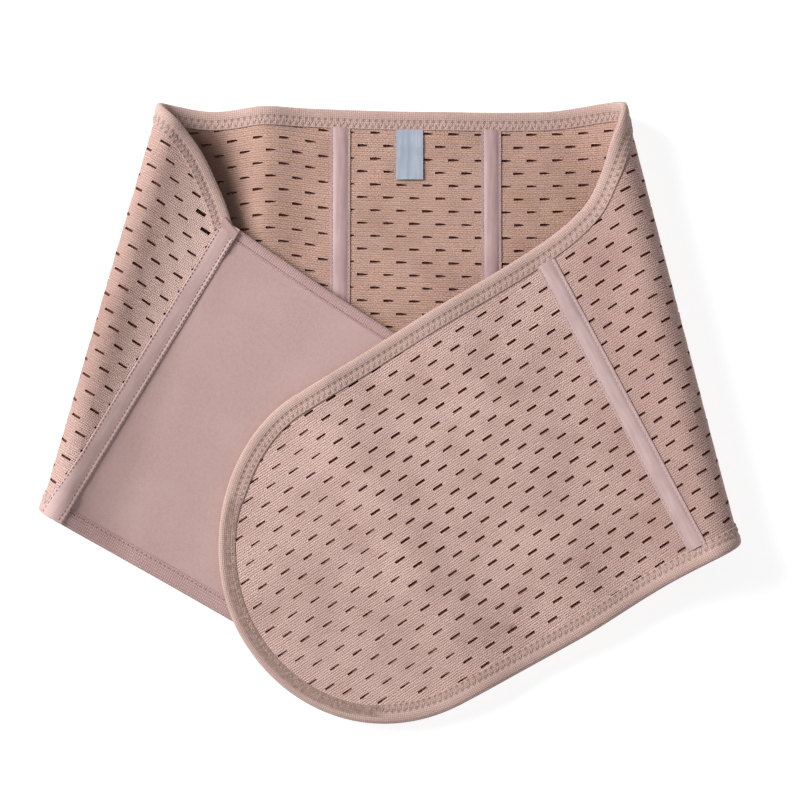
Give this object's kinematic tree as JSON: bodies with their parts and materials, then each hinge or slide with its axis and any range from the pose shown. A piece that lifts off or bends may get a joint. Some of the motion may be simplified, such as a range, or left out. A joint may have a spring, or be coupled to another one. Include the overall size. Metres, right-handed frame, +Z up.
{
  "type": "abdominal binder",
  "caption": "Wide elastic abdominal binder lying flat with both ends folded over: a round-ended flap crosses a velour loop panel, with bound edges and bone casings.",
  "frame": {"origin": "middle of the ground that the folded binder covers, at the table's height", "axes": "+X towards the round flap's fold, +Y towards the back's top edge, +Z up from the table"},
  "size_m": [0.4286, 0.3854, 0.0366],
  "materials": {
    "elastic": "knitted elastic with small slits, matt",
    "binding": "folded knitted tape, zigzag stitched",
    "satin": "woven satin tape, soft sheen",
    "velour": "brushed loop velour, matt",
    "label": "silvery white satin ribbon, bare",
    "hook": "hook fastening tape"
  },
  "bodies": {
    "root": {"elastic_body": "elastic", "edge_binding": "binding", "loop_panel": "velour", "panel_binding": "velour", "casing_back_left": "satin", "casing_back_right": "satin", "casing_flap": "satin", "casing_seam": "satin", "care_label": "label", "seam_tab": "velour", "hook_patch": "hook"}
  },
  "joints": []
}
